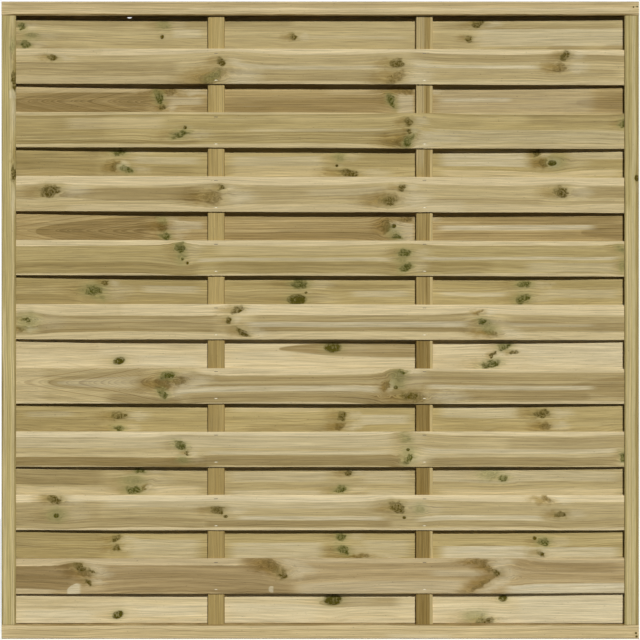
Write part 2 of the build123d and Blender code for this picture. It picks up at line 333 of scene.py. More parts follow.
FRONT_LOOKS: tuple[TimberLook, ...] = (
    TimberLook(Shade.SAND, knots(
        (52, 57.5, 11, 6, D, -0.9), (221, 61.5, 11, 8, D), (212, 77, 25, 18, B, 0.8), (213, 76, 13, 9, S, 0.8),
        (396.4, 63.8, 18, 9, D), (396, 77, 19, 14, B, 0.6), (565, 55.4, 11, 9, D, 0.4),
        (559.6, 67.4, 15, 10, B)), streaks(
        (40, 55.5, 0, 120, PALE, 0.5), (40, 55.5, 90, 640, PALE, 0.75), (75.5, 95, 0, 200, PALE, 0.2),
        (62, 75.5, 0, 185, DARK, 0.4), (74, 84, 0, 190, DARK, 0.24), (70, 82, 225, 385, DARK, 0.38),
        (66, 69.5, 225, 390, BLEACHED, 0.6), (65.5, 68.5, 405, 548, BLEACHED, 0.8),
        (54.5, 62, 405, 640, DARK, 0.38), (70, 78, 410, 625, DARK, 0.3), (80, 95, 225, 640, PALE, 0.35))),
    TimberLook(Shade.OLIVE, knots(
        (185, 127.4, 5, 5, P), (179.6, 134, 17, 8, G, 0.7), (409, 121.5, 10, 8, D), (408.4, 130.5, 6, 6, D),
        (403, 140, 20, 14, B, 0.5), (408, 141, 9, 14, G, 0.5), (624, 123.5, 10, 9, G)), streaks(
        (105, 115, 0, 640, PALE, 0.42), (113, 136, 0, 115, DARK, 0.28), (113, 125, 520, 640, DARK, 0.3),
        (139.5, 143, 0, 206, DARK, 0.5), (143.5, 160, 0, 640, PALE, 0.45), (132, 143, 210, 400, DARK, 0.18),
        (118, 129, 60, 170, PALE, 0.3), (129, 132, 240, 395, BLEACHED, 0.35),
        (133, 142, 412, 470, BLEACHED, 0.55), (130, 143, 425, 640, BLEACHED, 0.4))),
    TimberLook(Shade.SAND, knots(
        (50, 190.8, 21, 12, D, 0.3), (212, 197, 23, 14, B), (221, 188, 8, 6, D), (401.3, 187.3, 9, 6, D),
        (389, 200, 22, 13, B, 0.3), (389, 201, 16, 10, D), (560.3, 192.2, 17, 11, D)), streaks(
        (165, 186, 0, 640, PALE, 0.7), (203.5, 220, 60, 640, PALE, 0.36), (191, 198, 0, 40, DARK, 0.4),
        (188, 200, 58, 206, DARK, 0.62, 50), (187, 199, 226, 392, DARK, 0.32, 30, 5),
        (190, 196, 300, 390, BLEACHED, 0.3), (197, 205, 420, 550, DARK, 0.3),
        (187, 198, 570, 640, DARK, 0.45, 20), (200, 212, 420, 470, BLEACHED, 0.3))),
    TimberLook(Shade.OLIVE, knots(
        (180.3, 247.7, 12, 10, G), (182.4, 259, 4, 4, P), (187.3, 263, 4, 4, P), (181, 256, 10, 12, S),
        (404.2, 252.8, 14, 7, G, 0.3), (406, 267, 12, 8, G, 0.6), (403, 260, 12, 10, S),
        (622, 249, 10, 7, S, -0.8), (623, 266, 8, 9, S)), streaks(
        (230, 246, 0, 640, PALE, 0.75), (262, 273.5, 0, 206, DARK, 0.4), (273, 290, 0, 640, PALE, 0.5),
        (257.5, 261, 190, 400, BLEACHED, 0.6), (262, 272, 210, 400, DARK, 0.32),
        (246, 255, 210, 400, PALE, 0.2), (257, 260, 412, 625, BLEACHED, 0.75),
        (261.5, 271, 412, 500, DARK, 0.32), (263, 272, 520, 625, BLEACHED, 0.35))),
    TimberLook(Shade.SAND, knots(
        (25.3, 319.3, 10, 4, D), (21, 329, 8, 5, B), (28, 321, 20, 14, S), (237, 310, 14, 8, D, 0.9),
        (228.5, 320, 7, 6, D), (242, 332, 13, 9, D, -0.9), (480.3, 312, 8, 5, B, 0.9), (482, 321.5, 10, 5, G),
        (490.5, 333, 17, 9, B, -0.9), (487, 326, 16, 12, S, -0.7)), streaks(
        (290, 315.5, 0, 130, PALE, 0.5), (290, 315.5, 110, 640, PALE, 0.72), (316, 331, 30, 225, DARK, 0.28),
        (316, 319, 30, 225, DARK, 0.6, 0, 1.5), (328, 331, 30, 225, DARK, 0.62, 0, 1.5),
        (331.5, 350, 0, 640, PALE, 0.32), (315, 331.5, 245, 475, DARK, 0.42),
        (322, 327, 240, 475, BLEACHED, 0.75), (327.5, 331, 250, 478, DARK, 0.6),
        (317, 331.5, 500, 640, DARK, 0.42), (324, 327, 500, 600, BLEACHED, 0.45))),
    TimberLook(Shade.SAND, knots(
        (167.7, 375, 15, 8, G, 0.4), (162.8, 393, 11, 9, G, -0.3), (163, 384, 20, 14, B),
        (178, 381, 18, 9, B, 0.4), (398, 376, 16, 12, S), (403, 372, 10, 5, G, -0.6), (395.7, 387.3, 6, 5, P),
        (397, 382, 14, 12, S), (386.5, 386, 4, 13, B, 0.3), (414, 397, 28, 12, B),
        (409, 396, 20, 7, D, -0.5)), streaks(
        (371.5, 393, 46, 154, DARK, 0.42, 75, 4), (378, 387.5, 56, 148, BLEACHED, 0.4, 50, 4),
        (350, 410, 0, 50, PALE, 0.2), (372, 403, 172, 640, DARK, 0.3, 30), (360, 376, 190, 430, PALE, 0.75),
        (360, 373, 410, 640, PALE, 0.6), (386, 391, 165, 385, BLEACHED, 0.8), (393, 401, 180, 390, DARK, 0.55),
        (401, 420, 0, 640, PALE, 0.55), (386, 390, 420, 600, BLEACHED, 0.75), (391, 400, 420, 600, DARK, 0.6),
        (393, 402, 100, 190, DARK, 0.6),
        (372, 402, 570, 640, DARK, 0.55, 90, 10)), pith=(7, 12), tip=(48, 0.14), ring=2.8, figure=0.85),
    TimberLook(Shade.GREY, knots(
        (180.3, 445, 14, 8, G, -0.5), (186.5, 452.3, 6, 5, D), (184, 460, 12, 6, S), (406, 438, 10, 9, S, -0.4),
        (408, 449.7, 5, 4, P), (409, 458.6, 10, 9, G, 0.5), (409, 455, 14, 14, S),
        (623.5, 457, 8, 10, G)), streaks(
        (420, 437.5, 0, 170, PALE, 0.95), (420, 436, 150, 640, PALE, 0.75), (457, 466, 0, 220, DARK, 0.85),
        (455, 465, 190, 410, DARK, 0.7), (451, 454.5, 200, 400, BLEACHED, 0.5),
        (433, 448, 0, 400, BLEACHED, 0.4), (449, 453.5, 415, 625, BLEACHED, 0.6),
        (457, 465, 420, 625, DARK, 0.6), (465.5, 480, 0, 640, PALE, 0.25), (438, 450, 500, 640, DARK, 0.28))),
    TimberLook(Shade.GREY, knots(
        (54, 499.5, 15, 9, D, -0.6), (56.3, 515.7, 8, 6.5, P), (56, 515, 18, 11, S), (218, 510, 16, 8, D),
        (225.5, 516.5, 6, 4, P), (396.8, 507.4, 18, 12, D, -0.4), (404.2, 517.5, 5, 4, P), (420, 509, 12, 8, S),
        (547, 500, 13, 8, B, -0.9), (561, 514.7, 13, 7, D)), streaks(
        (485, 503, 0, 46, PALE, 1.0), (485, 502, 62, 640, PALE, 0.95), (503, 526, 0, 110, DARK, 0.34),
        (503, 526, 90, 640, DARK, 0.14), (518, 527, 0, 215, DARK, 0.42), (527, 545, 0, 640, PALE, 0.6),
        (497, 508, 100, 395, BLEACHED, 0.4), (515.5, 519.5, 230, 390, BLEACHED, 0.75),
        (519.5, 526, 195, 400, DARK, 0.65), (515, 520, 410, 550, BLEACHED, 0.75),
        (520, 526, 410, 640, DARK, 0.45))),
    TimberLook(Shade.UMBER, knots(
        (79, 567, 14, 9, D, -0.6), (90.5, 571.5, 9, 6, D, -0.7), (84, 573, 14, 9, B, -0.8),
        (88, 582, 9, 6, D, -0.7), (271, 564, 18, 13, B, -0.9), (281.4, 574, 12, 10, D, -0.3),
        (276, 568, 20, 12, B, -0.9), (487, 567, 12, 16, B, -1.5), (480, 562, 18, 6, B), (497, 573, 10, 6, D),
        (484, 583, 12, 21, B, 1.5)), streaks(
        (550, 566, 0, 250, PALE, 0.45), (566, 588, 0, 82, DARK, 0.66), (588, 600, 0, 60, PALE, 0.35),
        (581, 600, 66, 82, BLEACHED, 0.95, 10), (566, 590, 95, 275, DARK, 0.34),
        (577, 592, 110, 300, DARK, 0.4), (550, 563, 290, 640, PALE, 0.32), (580, 592, 290, 470, BLEACHED, 0.4),
        (583, 590, 268, 274, BLEACHED, 0.9), (583, 600, 500, 640, BLEACHED, 1.0),
        (570, 576, 425, 490, BLEACHED, 0.4), (563, 572, 505, 625, DARK, 0.35))),
)

FRAME_LOOKS: dict[str, TimberLook] = {
    "top_rail": TimberLook(Shade.RAIL, knots(
        (637, 6.5, 3, 2, P), (633.5, 7, 2, 2, P)), streaks(
        (3, 6.5, 0, 640, DARK, 0.3), (8, 10, 180, 640, PALE, 0.6), (11, 14, 120, 640, DARK, 0.25),
        (10, 13.5, 0, 640, PALE, 0.3),
        # painted shade: a dark line along the top rail's lower arris, which faces away from the lamp above
        (14, 16, 0, 640, DARK, 0.9, 0, 1.2)), pith=(-30, 45), ring=3.6, figure=1.0),
    "bottom_rail": TimberLook(Shade.RAIL, knots(
        (636, 633, 3, 3, P), (636.5, 636.5, 3, 3, P)), streaks(
        # painted highlight: a pale line on the bottom rail's eased upper edge where the lamp catches it; painted
        # shade: a dark line along that edge where the rail meets the slats
        (626, 628.6, 0, 640, PALE, 0.25), (623, 625.6, 0, 640, DARK, 0.9, 0, 1.2),
        (630, 635, 0, 300, DARK, 0.2),
        (634, 645, 380, 460, BLEACHED, 0.4)), pith=(25, 50), ring=3.6, figure=1.0),
    "left_stile": TimberLook(Shade.FRAME, knots(
        (14.2, 80, 26, 6, D), (13.4, 173, 22, 5, D), (12.6, 46, 14, 4, S)), streaks(
        # painted shade: dark lines down the left stile's outer arris, which faces away from the lamp on the right
        (0, 4, 0, 640, DARK, 0.25), (0, 2.4, 0, 640, DARK, 0.8, 0, 1.2),
        # painted shade: the first streak below darkens the stile's inner edge beside the slats, where its side face
        # is in shade
        (13.8, 16, 200, 640, DARK, 0.4, 0, 1.2), (11, 14, 0, 640, PALE, 0.3), (3, 6, 300, 640, PALE, 0.3),
        (10, 16, 88, 100, BLEACHED, 0.8)), pith=(-35, 40), ring=3.6, figure=1.0),
    "right_stile": TimberLook(Shade.FRAME, knots(
        (636.8, 178, 9, 6, P)), streaks(
        (632, 635, 0, 640, BLEACHED, 0.4), (636, 641, 0, 640, DARK, 0.6),
        (627, 631, 200, 640, PALE, 0.35)), pith=(40, 45), ring=3.6, figure=1.0),
    "left_batten": TimberLook(Shade.BATTEN, (), streaks(
        (205, 226, 60, 640, DARK, 0.12, 0, 3),
        (205, 226, 300, 640, DARK, 0.4, 0, 3)), pith=(-30, 50), figure=0.3),
    "right_batten": TimberLook(Shade.BATTEN, (), streaks(
        (423.5, 430, 0, 640, DARK, 0.5), (425.5, 427.5, 60, 640, DARK, 0.8, 0, 1.5),
        (415, 424, 190, 640, DARK, 0.36), (415, 429.5, 300, 640, DARK, 0.86),
        (415, 424, 0, 175, BLEACHED, 0.25), (415, 424, 0, 190, DARK, 0.25),
        (430, 436, 0, 640, PALE, 0.2)), pith=(34, 46), figure=0.4),
}


class NodeDesk:
    """Lays the nodes of one tree and links them."""

    def __init__(self, tree: NodeTree) -> None:
        """Takes the tree to work on."""
        self.tree = tree

    def put(self, kind: str, **settings: object) -> Node:
        """Adds a node.

        Args:
            kind: The node's type.
            **settings: Values for the node's own properties.

        Returns:
            The new node.
        """
        node = self.tree.nodes.new(kind)
        for name, value in settings.items():
            setattr(node, name, value)
        return node

    def feed(self, socket: NodeSocket, value: object) -> None:
        """Links a socket to another, or sets its value.

        Args:
            socket: The input to fill.
            value: An output socket, a number or a colour.
        """
        if isinstance(value, NodeSocket):
            self.tree.links.new(value, socket)
        else:
            socket.default_value = value

    def math(self, operation: str, *values: object, clamp: bool = False) -> NodeSocket:
        """A sum on one, two or three values.

        Args:
            operation: Name of the operation.
            *values: Sockets or numbers.
            clamp: Whether the result is held between 0 and 1.

        Returns:
            The result.
        """
        node = self.put("ShaderNodeMath", operation=operation, use_clamp=clamp)
        for socket, value in zip(node.inputs, values):
            self.feed(socket, value)
        return node.outputs[0]

    def times(self, first: object, second: object, clamp: bool = False) -> NodeSocket:
        """The product of two values."""
        return self.math("MULTIPLY", first, second, clamp=clamp)

    def plus(self, first: object, second: object, clamp: bool = False) -> NodeSocket:
        """The sum of two values."""
        return self.math("ADD", first, second, clamp=clamp)

    def minus(self, first: object, second: object) -> NodeSocket:
        """The first value less the second."""
        return self.math("SUBTRACT", first, second)

    def over(self, first: object, second: object, clamp: bool = False) -> NodeSocket:
        """The first value divided by the second."""
        return self.math("DIVIDE", first, second, clamp=clamp)

    def scaled(self, value: object, factor: object, added: object, clamp: bool = False) -> NodeSocket:
        """A value times a factor, with another added."""
        return self.math("MULTIPLY_ADD", value, factor, added, clamp=clamp)

    def most(self, first: object, second: object) -> NodeSocket:
        """The greater of two values."""
        return self.math("MAXIMUM", first, second)

    def span(self, value: object, low: object, high: object, start: float = 0.0, end: float = 1.0) -> NodeSocket:
        """Goes smoothly from start to end while a value goes from low to high.

        Args:
            value: The value read.
            low: Where the change begins.
            high: Where it ends.
            start: Result at low.
            end: Result at high.

        Returns:
            The result.
        """
        node = self.put("ShaderNodeMapRange", interpolation_type="SMOOTHSTEP")
        for socket, entry in zip(node.inputs, (value, low, high, start, end)):
            self.feed(socket, entry)
        return node.outputs[0]

    def mix(self, first: object, second: object, share: object) -> NodeSocket:
        """Mixes two colours.

        Args:
            first: Colour at share 0.
            second: Colour at share 1.
            share: How much of the second.

        Returns:
            The mixed colour.
        """
        node = self.put("ShaderNodeMix", data_type="RGBA")
        self.feed(node.inputs[0], share)
        self.feed(node.inputs[6], first)
        self.feed(node.inputs[7], second)
        return node.outputs[2]

    def tint(self, colour: object, filter_share: tuple[float, float, float], share: object) -> NodeSocket:
        """Darkens a colour through a filter and keeps its pattern.

        Args:
            colour: The colour.
            filter_share: What is left of red, green and blue at full strength.
            share: How much of the filter is used.

        Returns:
            The darkened colour.
        """
        node = self.put("ShaderNodeMix", data_type="RGBA", blend_type="MULTIPLY")
        self.feed(node.inputs[0], share)
        self.feed(node.inputs[6], colour)
        self.feed(node.inputs[7], (*filter_share, 1.0))
        return node.outputs[2]

    def combine(self, x: object, y: object, z: object) -> NodeSocket:
        """Joins three numbers into a vector.

        Args:
            x: Its first number.
            y: Its second number.
            z: Its third number.

        Returns:
            The vector.
        """
        node = self.put("ShaderNodeCombineXYZ")
        for socket, value in zip(node.inputs, (x, y, z)):
            self.feed(socket, value)
        return node.outputs[0]

    def drift(self, place: object, scale: float, swing: float, detail: float = 2.0) -> NodeSocket:
        """Smooth noise about zero along one number.

        Args:
            place: The number it follows.
            scale: How fast it changes.
            swing: How far it goes each way.
            detail: Octaves.

        Returns:
            The noise.
        """
        node = self.put("ShaderNodeTexNoise", noise_dimensions="1D")
        self.feed(node.inputs["W"], place)
        self.feed(node.inputs["Scale"], scale)
        self.feed(node.inputs["Detail"], detail)
        return self.scaled(node.outputs[0], 2 * swing, -swing)

    def cloud(self, vector: object, detail: float = 2.0, rough: float = 0.5) -> NodeSocket:
        """Smooth noise from 0 to 1 in space.

        Args:
            vector: The place, already scaled.
            detail: Octaves.
            rough: Weight of the finer octaves.

        Returns:
            The noise.
        """
        node = self.put("ShaderNodeTexNoise", noise_dimensions="3D")
        self.feed(node.inputs["Vector"], vector)
        self.feed(node.inputs["Scale"], 1.0)
        self.feed(node.inputs["Detail"], detail)
        self.feed(node.inputs["Roughness"], rough)
        return node.outputs[0]

    def drawn(
        self, along: object, across: object, third: object, scale: tuple[float, float],
        detail: float = 2.0, rough: float = 0.5,
    ) -> NodeSocket:
        """Noise drawn out along the grain.

        Args:
            along: Place along the grain.
            across: Place across it.
            third: Third number of the place, such as the timber's seed.
            scale: How fast it changes along and across the grain.
            detail: Octaves.
            rough: Weight of the finer octaves.

        Returns:
            The noise, from 0 to 1.
        """
        place = self.combine(self.times(along, scale[0]), self.times(across, scale[1]), third)
        return self.cloud(place, detail, rough)


def new_material(name: str) -> tuple[Material, NodeDesk, Node]:
    """Starts a material.

    Args:
        name: Its name.

    Returns:
        The material, the desk of its nodes and its shader.
    """
    material = bpy.data.materials.new(name)
    material.use_nodes = True
    return material, NodeDesk(material.node_tree), material.node_tree.nodes["Principled BSDF"]


def new_group(name: str, inputs: dict[str, object], outputs: dict[str, str]) -> tuple[NodeDesk, Node, Node]:
    """Starts a node group with its sockets.

    Args:
        name: Name of the group.
        inputs: Input names with their starting values, a number or a colour.
        outputs: Output names with their socket types.

    Returns:
        The desk of the group, its input node and its output node.
    """
    tree = bpy.data.node_groups.new(name, "ShaderNodeTree")
    for label, value in inputs.items():
        kind = "NodeSocketColor" if isinstance(value, tuple) else "NodeSocketFloat"
        socket = tree.interface.new_socket(label, in_out="INPUT", socket_type=kind)
        socket.default_value = value
    for label, kind in outputs.items():
        tree.interface.new_socket(label, in_out="OUTPUT", socket_type=kind)
    desk = NodeDesk(tree)
    return desk, desk.put("NodeGroupInput"), desk.put("NodeGroupOutput")


@dataclass
class KnotGroup:
    """The node group that adds one knot to a timber: the grain pulled round it, its heart, halo, tint and bleach.

    Places and radii are in the knot's own half sizes. A fade or spread says how fast a value dies away along and
    across the grain; heart and tint are the radii between which they fade; lean darkens the heart's lower right.
    """

    name: str = "knot"
    pull: float = 0.85
    pull_fade: tuple[float, float] = (0.6, 1.2)
    rings: float = 13.0
    ring_depth: float = 0.11
    ring_level: float = 0.92
    lean: float = 0.26
    heart: tuple[float, float] = (0.7, 1.2)
    halo_shift: float = 0.9
    halo_spread: tuple[float, float] = (0.07, 0.3)
    bleach_shift: float = 2.6
    bleach_spread: tuple[float, float] = (0.14, 0.4)
    bleach: float = 0.55
    tint: tuple[float, float] = (0.4, 2.2)
    tree: NodeTree = field(init=False)

    @staticmethod
    def oval(desk: NodeDesk, ex: object, ez2: object, spread: tuple[float, float]) -> NodeSocket:
        """The distance sqrt(a ex² + b ez²).

        Args:
            desk: Where the nodes go.
            ex: Place along the grain, in half lengths.
            ez2: Square of the place across it, in half heights.
            spread: The factors a and b.

        Returns:
            The distance.
        """
        return desk.math("SQRT", desk.scaled(desk.times(ex, ex), spread[0], desk.times(ez2, spread[1])))

    def build(self) -> None:
        """Lays the nodes.

        With e the place from the knot's middle in its own half sizes, the grain is pulled towards the middle by
        dz / (1 + e²) so that lines flow round it; the heart fills e < 1; the halo reaches further along the grain,
        more to one side, and the other side is bleached.
        """
        floats = ("Along", "Across", "Pull", "Core", "Stain", "Green", "White", "At", "Level", "Slant")
        inputs: dict[str, object] = {label: 0.0 for label in floats}
        inputs.update({"Half Length": 10.0, "Half Height": 8.0, "Dark": 0.8, "Tint": 0.5, "Halo": 0.6})
        outputs = {label: "NodeSocketFloat" for label in ("Pull", "Core", "Stain", "Green", "White")}
        desk, given, result = new_group(self.name, inputs, outputs)
        take = given.outputs
        away = desk.minus(take["Across"], take["Level"])
        beside = desk.minus(desk.minus(take["Along"], take["At"]), desk.times(away, take["Slant"]))
        ex = desk.over(beside, take["Half Length"])
        ez = desk.over(away, take["Half Height"])
        ex2, ez2 = desk.times(ex, ex), desk.times(ez, ez)
        radius = desk.math("SQRT", desk.plus(ex2, ez2))
        spread = desk.scaled(ex2, self.pull_fade[0], desk.scaled(ez2, self.pull_fade[1], 1.0))
        pulled = desk.over(desk.times(away, self.pull), spread)
        rings = desk.math("COSINE", desk.times(radius, self.rings))
        rings = desk.scaled(rings, self.ring_depth, self.ring_level)
        uneven = desk.scaled(desk.minus(ex, ez), self.lean, rings, clamp=True)
        heart = desk.times(desk.span(radius, *self.heart, 1.0, 0.0), desk.times(take["Dark"], uneven))
        near = self.oval(desk, desk.plus(ex, self.halo_shift), ez2, self.halo_spread)
        halo = desk.times(desk.span(near, 0.1, 1.0, 1.0, 0.0), take["Halo"])
        far = self.oval(desk, desk.minus(ex, self.bleach_shift), ez2, self.bleach_spread)
        bleached = desk.times(desk.span(far, 0.2, 1.0, self.bleach, 0.0), take["Halo"])
        tint = desk.times(desk.span(radius, *self.tint, 1.0, 0.0), take["Tint"])
        desk.feed(result.inputs["Pull"], desk.plus(take["Pull"], pulled))
        for label, value in (("Core", heart), ("Stain", halo), ("Green", tint), ("White", bleached)):
            desk.feed(result.inputs[label], desk.most(take[label], value))
        self.tree = desk.tree


@dataclass
class StreakGroup:
    """The node group that adds one streak to a timber."""

    name: str = "streak"
    tree: NodeTree = field(init=False)

    def build(self) -> None:
        """Lays the nodes.

        The streak covers |across - level| < half, where half grows from nothing at its first end as the square root
        of the way along its point, so that a flame of heartwood has a rounded tip.
        """
        floats = ("Along", "Bent", "Pale", "Shade", "White", "Level", "From", "To")
        floats += ("To Pale", "To Shade", "To White")
        inputs: dict[str, object] = {label: 0.0 for label in floats}
        inputs.update({"Half": 10.0, "Point": 60.0, "Soft": 3.0, "Rise": 45.0, "Fade": 45.0})
        outputs = {label: "NodeSocketFloat" for label in ("Pale", "Shade", "White")}
        desk, given, result = new_group(self.name, inputs, outputs)
        take = given.outputs
        begun = desk.minus(take["Along"], take["From"])
        half = desk.times(take["Half"], desk.math("SQRT", desk.over(begun, take["Point"], clamp=True)))
        from_middle = desk.math("ABSOLUTE", desk.minus(take["Bent"], take["Level"]))
        inside = desk.over(desk.minus(half, from_middle), take["Soft"])
        mask = desk.times(desk.span(inside, -0.5, 0.6), desk.span(begun, 0.0, take["Rise"]))
        left = desk.minus(take["To"], take["Along"])
        mask = desk.times(mask, desk.span(left, 0.0, take["Fade"]))
        for label in ("Pale", "Shade", "White"):
            share = desk.times(mask, take[f"To {label}"])
            desk.feed(result.inputs[label], desk.most(take[label], share))
        self.tree = desk.tree


@dataclass
class BendGroup:
    """The node group that finds the grain's own level: across, less the knots' pull, wandering along the board.

    Wander and ripple are in millimetres each way; the scales say how fast they change along (and across) the board.
    """

    name: str = "bent_grain"
    wander: float = 3.0
    wander_scale: float = 0.0024
    ripple: float = 1.0
    ripple_scale: tuple[float, float] = (0.011, 0.035)
    tree: NodeTree = field(init=False)

    def build(self) -> None:
        """Lays the nodes."""
        inputs: dict[str, object] = {label: 0.0 for label in ("Along", "Across", "Pull", "Seed")}
        desk, given, result = new_group(self.name, inputs, {"Bent": "NodeSocketFloat"})
        take = given.outputs
        along = desk.scaled(take["Seed"], SEED_STEP, take["Along"])
        wander = desk.drift(along, self.wander_scale, self.wander)
        noise = desk.drawn(along, take["Across"], take["Seed"], self.ripple_scale)
        ripple = desk.scaled(noise, 2 * self.ripple, -self.ripple)
        bent = desk.plus(desk.minus(take["Across"], take["Pull"]), desk.plus(wander, ripple))
        desk.feed(result.inputs["Bent"], bent)
        self.tree = desk.tree


@dataclass
class TimberGroup:
    """The node group of treated softwood: year rings, fibres, streaks, knots and stain.

    The colours are display colours, but stain and dark are what these leave of red, green and blue. Flame is the
    length of a flame of rings in millimetres. Each scale says how fast a noise changes along and across the grain.
    """

    name: str = "treated_timber"
    knot: tuple[float, float, float] = (82, 62, 4)
    moss: tuple[float, float, float] = (72, 74, 12)
    green: tuple[float, float, float] = (146, 148, 92)
    stain: tuple[float, float, float] = (0.52, 0.42, 0.17)
    dark: tuple[float, float, float] = (0.47, 0.41, 0.27)
    white: tuple[float, float, float] = (213, 201, 166)
    sap: tuple[float, float, float] = (226, 208, 164)
    flame: float = 300.0
    flame_ease: float = 80.0
    broad_scale: tuple[float, float] = (0.0042, 0.03)
    fibre_scale: tuple[float, float] = (0.009, 0.6)
    fleck_scale: tuple[float, float] = (0.007, 0.34)
    mottle_scale: tuple[float, float] = (0.15, 0.34)
    line_scale: tuple[float, float] = (0.0045, 0.27)
    pit_scale: tuple[float, float] = (0.13, 0.3)
    tree: NodeTree = field(init=False)

    def rings(self, desk: NodeDesk, take: object, along: object) -> tuple[NodeSocket, NodeSocket]:
        """Lays the year rings.

        The rings are g = sqrt((across - pith)² + (depth to the pith)²), wandering slowly along the grain, less
        taper times the way from the tip where a flame of rings begins; each goes from early wood to a late line.

        Args:
            desk: Where the nodes go.
            take: The group's own inputs.
            along: Place along the grain, shifted by the seed.

        Returns:
            The share of late wood, and a tone that changes from ring to ring.
        """
        side = desk.minus(take["Bent"], take["Pith Across"])
        beyond = desk.math("SMOOTH_MIN", desk.minus(take["Along"], take["Tip"]), self.flame, self.flame_ease)
        beyond = desk.math("SMOOTH_MAX", beyond, -self.flame / 3, self.flame_ease)
        deep = desk.plus(take["Pith Depth"], desk.plus(take["Depth"], desk.drift(along, 0.004, 7.0)))
        flaming = desk.math("GREATER_THAN", take["Taper"], 0.001)
        deep = desk.scaled(flaming, desk.minus(take["Pith Depth"], deep), deep)
        radius = desk.math("SQRT", desk.scaled(side, side, desk.times(deep, deep)))
        radius = desk.minus(radius, desk.times(beyond, take["Taper"]))
        own_radius = desk.scaled(take["Seed"], 311.0, radius)
        phase = desk.plus(desk.over(radius, take["Ring"]), desk.drift(own_radius, 0.11, 1.4))
        turn = desk.math("FRACT", phase)
        late = desk.times(desk.span(turn, 0.2, 0.84), desk.span(turn, 0.86, 1.0, 1.0, 0.0))
        chance = desk.put("ShaderNodeTexWhiteNoise", noise_dimensions="1D")
        desk.feed(chance.inputs["W"], desk.plus(desk.math("FLOOR", phase), take["Seed"]))
        late = desk.times(late, desk.scaled(chance.outputs[0], 0.8, 0.2))
        return late, desk.drift(own_radius, 0.06, 0.9, 3.0)

    def build(self) -> None:
        """Lays the nodes: the rings' colours, then streaks, stain, green tint, knot hearts and fibres."""
        floats = ("Along", "Bent", "Depth", "Core", "Stain", "Green", "Pale", "Shade", "White", "Seed")
        floats += ("Pith Across", "Pith Depth", "Tip", "Taper")
        inputs: dict[str, object] = {label: 0.0 for label in floats}
        inputs.update({"Ring": 5.0, "Figure": 0.6})
        inputs.update({label: (0.5, 0.4, 0.2, 1.0) for label in ("Early", "Body", "Late")})
        outputs = {"Colour": "NodeSocketColor", "Rough": "NodeSocketFloat", "Height": "NodeSocketFloat"}
        desk, given, result = new_group(self.name, inputs, outputs)
        take = given.outputs
        seed, bent = take["Seed"], take["Bent"]
        along = desk.scaled(seed, SEED_STEP, take["Along"])
        late, band = self.rings(desk, take, along)
        broad = desk.minus(desk.drawn(along, bent, seed, self.broad_scale, 3.0), 0.5)
        layer = desk.times(take["Depth"], self.fibre_scale[1])
        fibre = desk.minus(desk.drawn(along, bent, layer, self.fibre_scale, 4.0, 0.7), 0.5)
        fleck = desk.drawn(along, bent, seed, self.fleck_scale, 3.0, 0.6)
        tone = desk.plus(desk.scaled(band, 0.75, 0.5), desk.times(broad, 1.5), clamp=True)
        colour = desk.mix(take["Early"], take["Body"], tone)
        colour = desk.mix(colour, take["Late"], desk.times(late, take["Figure"], clamp=True))
        streaky = desk.scaled(desk.minus(fleck, 0.5), 1.1, 1.0)
        colour = desk.tint(colour, self.dark, desk.times(take["Shade"], streaky, clamp=True))
        pale = desk.times(desk.times(take["Pale"], 0.95), streaky, clamp=True)
        colour = desk.mix(colour, linear(*self.sap), pale)
        bleach = desk.times(take["White"], desk.span(fleck, 0.3, 0.7, 0.5, 1.0))
        bleach = desk.most(bleach, desk.span(fleck, 0.6, 0.78, 0.0, 0.3))
        colour = desk.mix(colour, linear(*self.white), bleach)
        stain = desk.times(desk.times(take["Stain"], 0.75), streaky, clamp=True)
        colour = desk.tint(colour, self.stain, stain)
        colour = desk.mix(colour, linear(*self.green), desk.times(take["Green"], 0.62))
        heart = desk.mix(linear(*self.knot), linear(*self.moss), take["Green"])
        mottle = desk.drawn(along, bent, seed, self.mottle_scale, 3.0, 0.65)
        mottle = desk.span(mottle, 0.36, 0.6, 0.42, 1.05)
        colour = desk.mix(colour, heart, desk.times(take["Core"], mottle, clamp=True))
        line = desk.minus(desk.drawn(along, bent, desk.plus(seed, 4.0), self.line_scale, 4.0, 0.75), 0.5)
        pit = desk.span(desk.drawn(along, bent, desk.plus(seed, 9.0), self.pit_scale, 1.0), 0.7, 0.8, 0.0, 0.3)
        lit = desk.minus(desk.plus(fibre, desk.scaled(line, 1.15, 1.0)), pit)
        shown = desk.put("ShaderNodeVectorMath", operation="SCALE")
        desk.feed(shown.inputs[0], colour)
        desk.feed(shown.inputs["Scale"], lit)
        rough = desk.scaled(late, -0.12, desk.scaled(fibre, 0.2, 0.74))
        height = desk.scaled(late, 0.4, desk.scaled(fibre, 0.8, desk.times(take["Core"], 0.3)))
        for label, value in (("Colour", shown.outputs[0]), ("Rough", rough), ("Height", height)):
            desk.feed(result.inputs[label], value)
        self.tree = desk.tree


